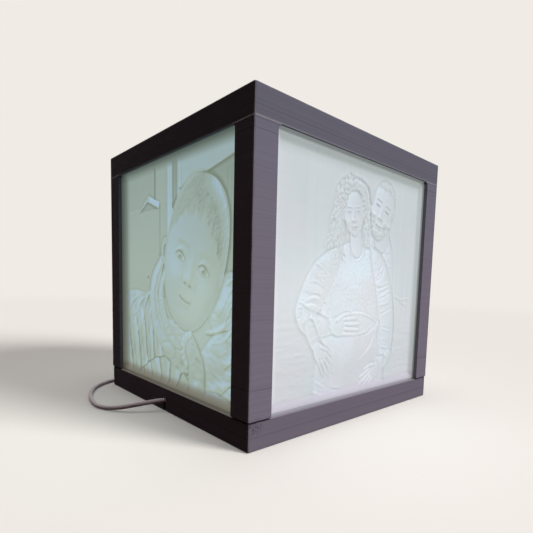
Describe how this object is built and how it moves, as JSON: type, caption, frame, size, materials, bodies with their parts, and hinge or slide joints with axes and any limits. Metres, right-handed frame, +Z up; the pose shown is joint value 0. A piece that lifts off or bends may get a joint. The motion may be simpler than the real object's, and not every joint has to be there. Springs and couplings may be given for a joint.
{
  "type": "lithophane light cube",
  "caption": "Cube lamp whose printed frame holds translucent relief pictures around an LED column, with a lift-off top and a thin supply lead.",
  "frame": {"origin": "centre of the cube's underside, on the surface it stands on", "axes": "+Z up; the front picture faces -Y; the lead leaves the base towards -X"},
  "size_m": [0.1416, 0.1625, 0.12],
  "materials": {
    "printed_frame": "layer-printed, satin",
    "printed_panel": "thin translucent relief, lit from behind",
    "printed_column": "layer-printed, matt",
    "led_strip": "flexible circuit with LED blocks",
    "lead_jacket": "satin jacket",
    "tie_plastic": "matt",
    "wire_red": "satin insulation",
    "wire_black": "satin insulation",
    "plug_grip": "moulded, matt",
    "plug_shell": "folded sheet",
    "plug_tongue": "moulded"
  },
  "bodies": {
    "base": {"base_tray": "printed_frame", "light_column": "printed_column", "led_strip_front": "led_strip", "led_strip_right": "led_strip", "led_strip_rear": "led_strip", "led_strip_left": "led_strip", "jumper_1_positive": "wire_red", "jumper_1_negative": "wire_black", "jumper_2_positive": "wire_red", "jumper_2_negative": "wire_black", "jumper_3_positive": "wire_red", "jumper_3_negative": "wire_black", "feed_wire_positive": "wire_red", "feed_wire_negative": "wire_black", "lead_inner": "lead_jacket", "strain_tie": "tie_plastic", "supply_lead": "lead_jacket", "lead_coil": "lead_jacket", "lead_tail": "lead_jacket", "coil_tie_1": "tie_plastic", "coil_tie_2": "tie_plastic", "usb_plug_grip": "plug_grip", "usb_plug_shell": "plug_shell", "usb_plug_tongue": "plug_tongue"},
    "cage": {"post_front": "printed_frame", "post_right": "printed_frame", "post_rear": "printed_frame", "post_left": "printed_frame", "panel_front": "printed_panel", "panel_right": "printed_panel", "panel_rear": "printed_panel", "panel_left": "printed_panel"},
    "lid": {"top_frame": "printed_frame"}
  },
  "joints": [
    {"name": "cage_lift", "type": "slide", "parent": "base", "child": "cage", "axis": [0, 0, 1], "range_m": [0, 0.1]},
    {"name": "lid_lift", "type": "slide", "parent": "cage", "child": "lid", "axis": [0, 0, 1], "range_m": [0, 0.06]}
  ]
}
